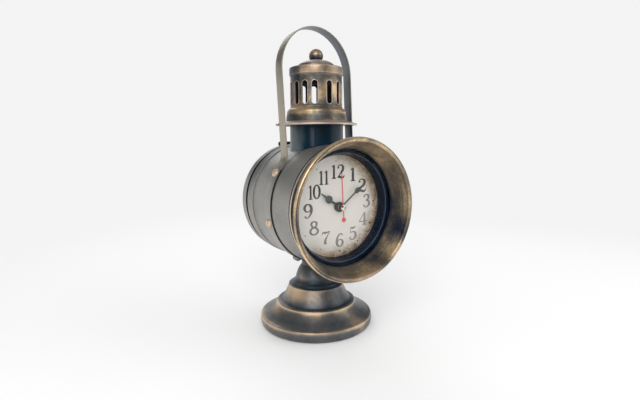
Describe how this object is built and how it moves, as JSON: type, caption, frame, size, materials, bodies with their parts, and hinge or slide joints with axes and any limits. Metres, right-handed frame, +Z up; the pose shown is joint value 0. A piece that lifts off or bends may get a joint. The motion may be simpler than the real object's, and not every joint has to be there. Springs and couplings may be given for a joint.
{
  "type": "table clock",
  "caption": "Table clock shaped like an old signal lamp: dial in a flared bell, barrel with a hinged rear door, turned stand, vented chimney and strap handle.",
  "frame": {"origin": "on the table, at the centre of the stand's underside, below the stand's axis", "axes": "+Z up; -Y the way the dial and the bell face, along the barrel; +X to the right of someone who reads the dial"},
  "size_m": [0.1166, 0.1193, 0.2654],
  "materials": {
    "pewter_sheet": "satin pewter with a faint bronze tone",
    "strap_metal": "satin, worn lighter on the faces",
    "aged_brass": "antique brass with dark burnish",
    "dark_enamel": "near-black gloss",
    "copper_gold": "bright copper-gold",
    "dark_bronze": "dark bronze gloss, copper on the edges",
    "black_gloss": "black gloss",
    "black_fitting": "black satin",
    "clear_glass": "clear",
    "cream_dial": "matt cream with brown foxing and dark numerals",
    "plain_steel": "plain",
    "felt": "matt",
    "black_plastic": "matt",
    "white_plastic": "matt",
    "gasket_rubber": "matt",
    "plain_brass": "bright",
    "hand_black": "satin black",
    "hand_red": "satin red",
    "coil_wire": "enamelled copper",
    "board_green": "green board with a black chip",
    "cell_jacket": "plain jacket"
  },
  "bodies": {
    "clock_body": {"pedestal": "dark_bronze", "base_plate": "plain_steel", "base_pad": "felt", "saddle_shim": "plain_steel", "bolt_saddle": "plain_steel", "stand_bolt": "plain_steel", "stand_nut": "plain_steel", "barrel": "pewter_sheet", "rear_collar": "pewter_sheet", "rear_rim": "pewter_sheet", "bell": "aged_brass", "bezel_ring": "black_gloss", "lens": "clear_glass", "dial": "cream_dial", "dial_retainer": "black_fitting", "retainer_screws": "plain_steel", "neck_tube": "dark_enamel", "brim": "aged_brass", "vent_body": "aged_brass", "crown_cap": "aged_brass", "finial": "aged_brass", "finial_nut": "plain_brass", "handle_strap": "strap_metal", "strap_rivets": "copper_gold", "rim_hinge_leaf": "black_fitting", "rim_hinge_rivets": "black_fitting", "hinge_pin": "black_fitting", "movement_case": "black_plastic", "movement_cover": "black_plastic", "train_plate": "white_plastic", "movement_gasket": "gasket_rubber", "hand_washer": "black_fitting", "hand_nut": "black_fitting", "stator": "plain_steel", "coil": "coil_wire", "coil_bobbin": "black_plastic", "circuit_board": "board_green", "battery": "cell_jacket", "positive_contact": "plain_steel", "negative_contact": "plain_steel"},
    "door": {"rear_door": "pewter_sheet", "door_hinge_leaf": "black_fitting", "door_hinge_rivets": "black_fitting", "door_knob": "aged_brass"},
    "minute_arbor": {"cannon_pinion": "plain_brass", "minute_hand": "hand_black"},
    "hour_pipe": {"hour_wheel": "white_plastic", "hour_hand": "hand_black"},
    "motion_wheel": {"minute_wheel": "white_plastic"},
    "setting_knob": {"set_knob": "black_plastic"},
    "second_arbor": {"second_wheel": "white_plastic", "second_hand": "hand_red", "hand_cap": "plain_brass"},
    "step_wheel": {"intermediate_wheel": "white_plastic"},
    "step_rotor": {"rotor": "black_fitting"},
    "slow_wheel": {"third_wheel": "white_plastic"},
    "clutch_wheel": {"centre_wheel": "white_plastic"}
  },
  "joints": [
    {"name": "door_swing", "type": "hinge", "parent": "clock_body", "child": "door", "pos_m": [0, 0.0494, 0.165], "axis": [1, 0, 0], "range_deg": [0, 110]},
    {"name": "minute_turn", "type": "hinge", "parent": "clock_body", "child": "minute_arbor", "pos_m": [0, 0, 0.1128], "axis": [0, 1, 0], "continuous": true},
    {"name": "hour_turn", "type": "hinge", "parent": "clock_body", "child": "hour_pipe", "pos_m": [0, 0, 0.1128], "axis": [0, 1, 0], "continuous": true},
    {"name": "motion_wheel_turn", "type": "hinge", "parent": "clock_body", "child": "motion_wheel", "pos_m": [0.00811, 0, 0.11063], "axis": [0, 1, 0], "continuous": true},
    {"name": "set_knob_turn", "type": "hinge", "parent": "clock_body", "child": "setting_knob", "pos_m": [0.01639, 0, 0.11208], "axis": [0, 1, 0], "continuous": true},
    {"name": "second_turn", "type": "hinge", "parent": "clock_body", "child": "second_arbor", "pos_m": [0, 0, 0.1128], "axis": [0, 1, 0], "continuous": true},
    {"name": "step_wheel_turn", "type": "hinge", "parent": "clock_body", "child": "step_wheel", "pos_m": [0.00248, 0, 0.12207], "axis": [0, 1, 0], "continuous": true},
    {"name": "rotor_turn", "type": "hinge", "parent": "clock_body", "child": "step_rotor", "pos_m": [0.01076, 0, 0.12353], "axis": [0, 1, 0], "continuous": true},
    {"name": "slow_wheel_turn", "type": "hinge", "parent": "clock_body", "child": "slow_wheel", "pos_m": [-0.01015, 0, 0.11649], "axis": [0, 1, 0], "continuous": true},
    {"name": "clutch_wheel_turn", "type": "hinge", "parent": "clock_body", "child": "clutch_wheel", "pos_m": [0, 0, 0.1128], "axis": [0, 1, 0], "continuous": true}
  ],
  "couplings": [
    {"joint": "hour_turn", "follows": "minute_turn", "ratio": 0.083333},
    {"joint": "motion_wheel_turn", "follows": "minute_turn", "ratio": -0.33333},
    {"joint": "set_knob_turn", "follows": "minute_turn", "ratio": 1},
    {"joint": "step_wheel_turn", "follows": "second_turn", "ratio": -5},
    {"joint": "rotor_turn", "follows": "second_turn", "ratio": 30},
    {"joint": "slow_wheel_turn", "follows": "second_turn", "ratio": -0.13333},
    {"joint": "clutch_wheel_turn", "follows": "second_turn", "ratio": 0.016667}
  ]
}
